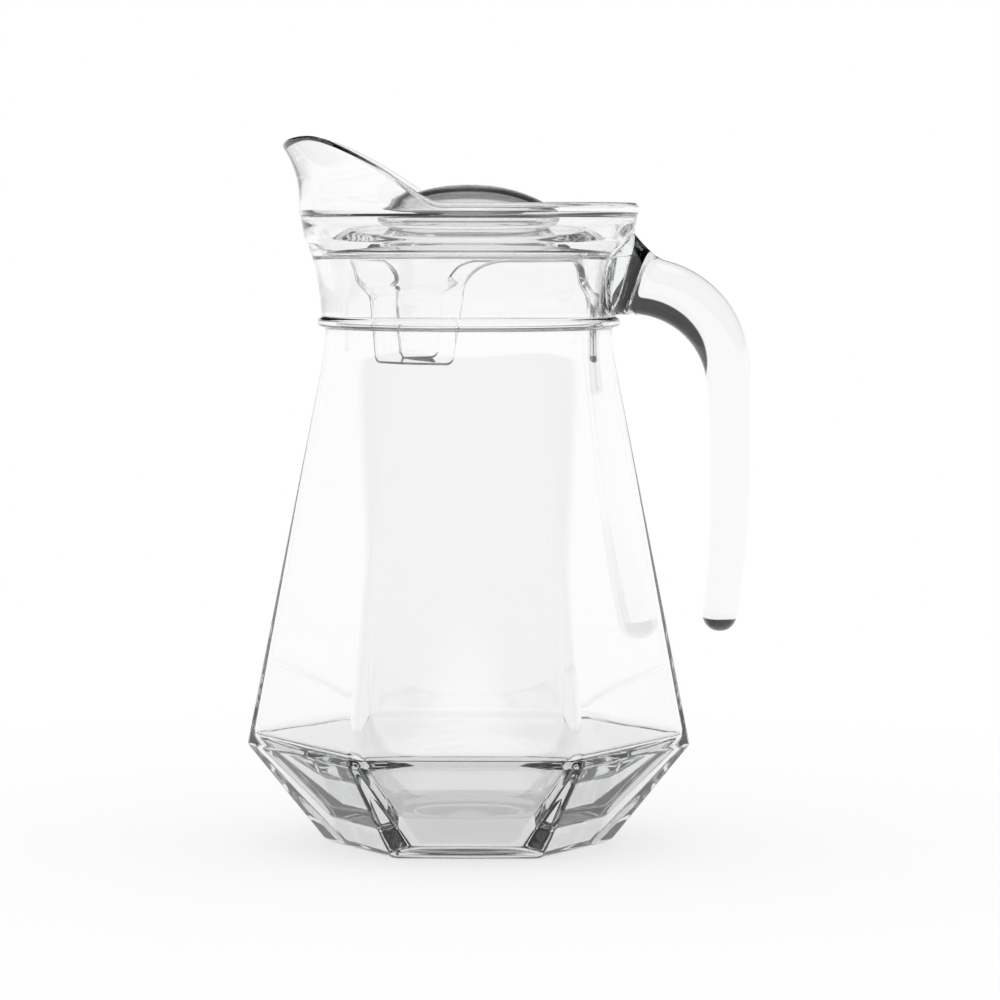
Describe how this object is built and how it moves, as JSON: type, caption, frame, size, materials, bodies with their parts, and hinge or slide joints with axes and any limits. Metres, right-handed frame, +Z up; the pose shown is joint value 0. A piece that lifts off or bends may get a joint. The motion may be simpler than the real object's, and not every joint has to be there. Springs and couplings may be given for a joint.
{
  "type": "glass pitcher with lid",
  "caption": "Six-sided clear glass jug with a round neck, raised pouring lip and open-ended strap handle, and a clear domed lid that lifts out and turns.",
  "frame": {"origin": "on the jug's own axis, in the plane of the flat band under the foot", "axes": "+Z up along the jug's axis, -X towards the pouring lip, +X towards the handle"},
  "size_m": [0.1602, 0.1236, 0.2251],
  "materials": {
    "jug_glass": "fire-polished pressed glass",
    "lid_plastic": "clear moulded plastic"
  },
  "bodies": {
    "jug": {"jug_body": "jug_glass", "jug_handle": "jug_glass"},
    "lid_cap": {"lid_knob": "lid_plastic"},
    "lid": {"lid_plate": "lid_plastic"}
  },
  "joints": [
    {"name": "lid_lift", "type": "slide", "parent": "jug", "child": "lid_cap", "axis": [0, 0, 1], "range_m": [0, 0.08]},
    {"name": "lid_turn", "type": "hinge", "parent": "lid_cap", "child": "lid", "pos_m": [0, 0, 0.19], "axis": [0, 0, 1], "continuous": true}
  ]
}
